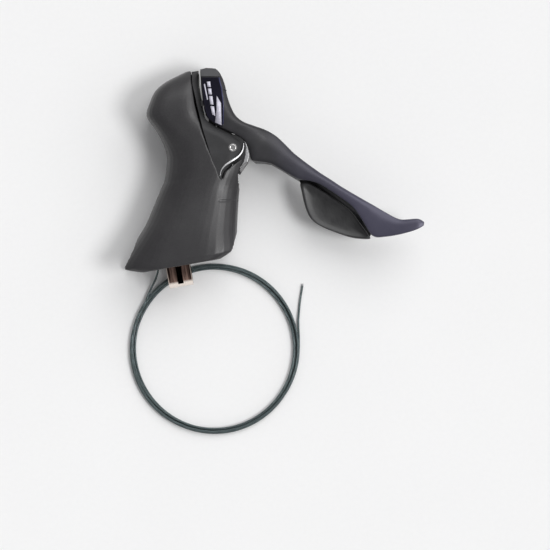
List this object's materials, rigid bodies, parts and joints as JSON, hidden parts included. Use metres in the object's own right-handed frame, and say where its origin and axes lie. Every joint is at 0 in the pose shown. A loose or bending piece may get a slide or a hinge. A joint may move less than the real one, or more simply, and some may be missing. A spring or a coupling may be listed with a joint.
{
  "type": "brake shift lever",
  "caption": "Drop-bar brake and shift lever: hooded bracket with a clamp band, a long curved blade, a small release paddle and a coiled shift cable.",
  "frame": {"origin": "centre of the handlebar bore in the clamp band", "axes": "-X is the way the handlebar leaves the band, +Y runs along the bracket to its horn, +Z is the lever's outer side, up as it lies on a table"},
  "size_m": [0.1824, 0.2107, 0.0352],
  "materials": {
    "hood_rubber": "fine matt texture",
    "horn_plastic": "gloss black",
    "bracket_resin": "matt dark grey with a fine grain",
    "bright_alloy": "brushed",
    "dark_alloy": "satin charcoal anodising",
    "bright_steel": "polished",
    "steel": "machined",
    "plate_black": "gloss black with a blue cast",
    "paddle_plastic": "satin black",
    "brass": "turned",
    "cable_wire": "dark stranded wire with a thin coating",
    "tip_metal": "crimped"
  },
  "bodies": {
    "housing": {"bracket": "bracket_resin", "hood": "hood_rubber", "horn_cap": "horn_plastic", "horn_cap_screw": "steel", "clamp_band": "bright_steel", "clamp_bolt": "steel", "clamp_nut": "steel", "brake_casing_seat": "bright_alloy", "shift_casing_seat": "bright_alloy", "pivot_axle": "bright_steel", "axle_circlip": "steel", "unit_axle": "steel", "unit_front_plate": "steel", "unit_rear_plate": "steel", "drum_spring": "steel", "hold_pawl_pin": "steel", "shift_cable_coil": "cable_wire", "shift_cable_exit": "cable_wire", "shift_cable_inside": "cable_wire", "shift_cable_tail": "cable_wire", "shift_cable_tip": "tip_metal", "shift_cable_wrap": "cable_wire"},
    "brake_link": {"lever_base": "bright_alloy", "axle_bushes": "brass", "brake_cable_hook": "brass", "reach_screw": "steel", "shift_pin": "bright_steel", "brake_return_spring": "steel"},
    "shift_blade": {"main_lever": "dark_alloy", "name_plate": "plate_black", "plate_cap": "horn_plastic", "plate_screw": "steel", "lever_return_spring": "steel"},
    "release": {"release_arm": "steel", "release_paddle": "paddle_plastic", "paddle_rivets": "bright_steel"},
    "drive": {"drive_arm": "steel", "pull_pawl": "steel"},
    "winder": {"cable_drum": "bright_alloy", "ratchet_wheel": "steel", "cable_nipple": "tip_metal"},
    "holder": {"hold_pawl": "steel"}
  },
  "joints": [
    {"name": "brake_pivot", "type": "hinge", "parent": "housing", "child": "brake_link", "pos_m": [0.0432, 0.0613, 0], "axis": [0, 0, -1], "range_deg": [0, 25], "stiffness_Nm_per_rad": 0.3, "springref_deg": -28.65},
    {"name": "shift_swing", "type": "hinge", "parent": "brake_link", "child": "shift_blade", "pos_m": [0.0372, 0.084, 0], "axis": [0.1392, 0.9903, 0], "range_deg": [0, 18], "stiffness_Nm_per_rad": 0.3, "springref_deg": -34.38},
    {"name": "release_swing", "type": "hinge", "parent": "shift_blade", "child": "release", "pos_m": [0.0372, 0.084, 0], "axis": [0.1392, 0.9903, 0], "range_deg": [0, 14], "stiffness_Nm_per_rad": 0.12, "springref_deg": -28.65},
    {"name": "drive_swing", "type": "hinge", "parent": "housing", "child": "drive", "pos_m": [0.0172, 0.09, 0], "axis": [0, -1, 0], "range_deg": [0, 7.5]},
    {"name": "winder_turn", "type": "hinge", "parent": "housing", "child": "winder", "pos_m": [0.0172, 0.081, 0], "axis": [0, -1, 0], "range_deg": [0, 180]},
    {"name": "hold_pawl_swing", "type": "hinge", "parent": "housing", "child": "holder", "pos_m": [0.0209, 0.086, -0.00641], "axis": [0, -1, 0], "range_deg": [0, 8], "stiffness_Nm_per_rad": 0.002, "springref_deg": -22.92}
  ],
  "couplings": [
    {"joint": "drive_swing", "follows": "shift_swing", "ratio": 0.4}
  ]
}
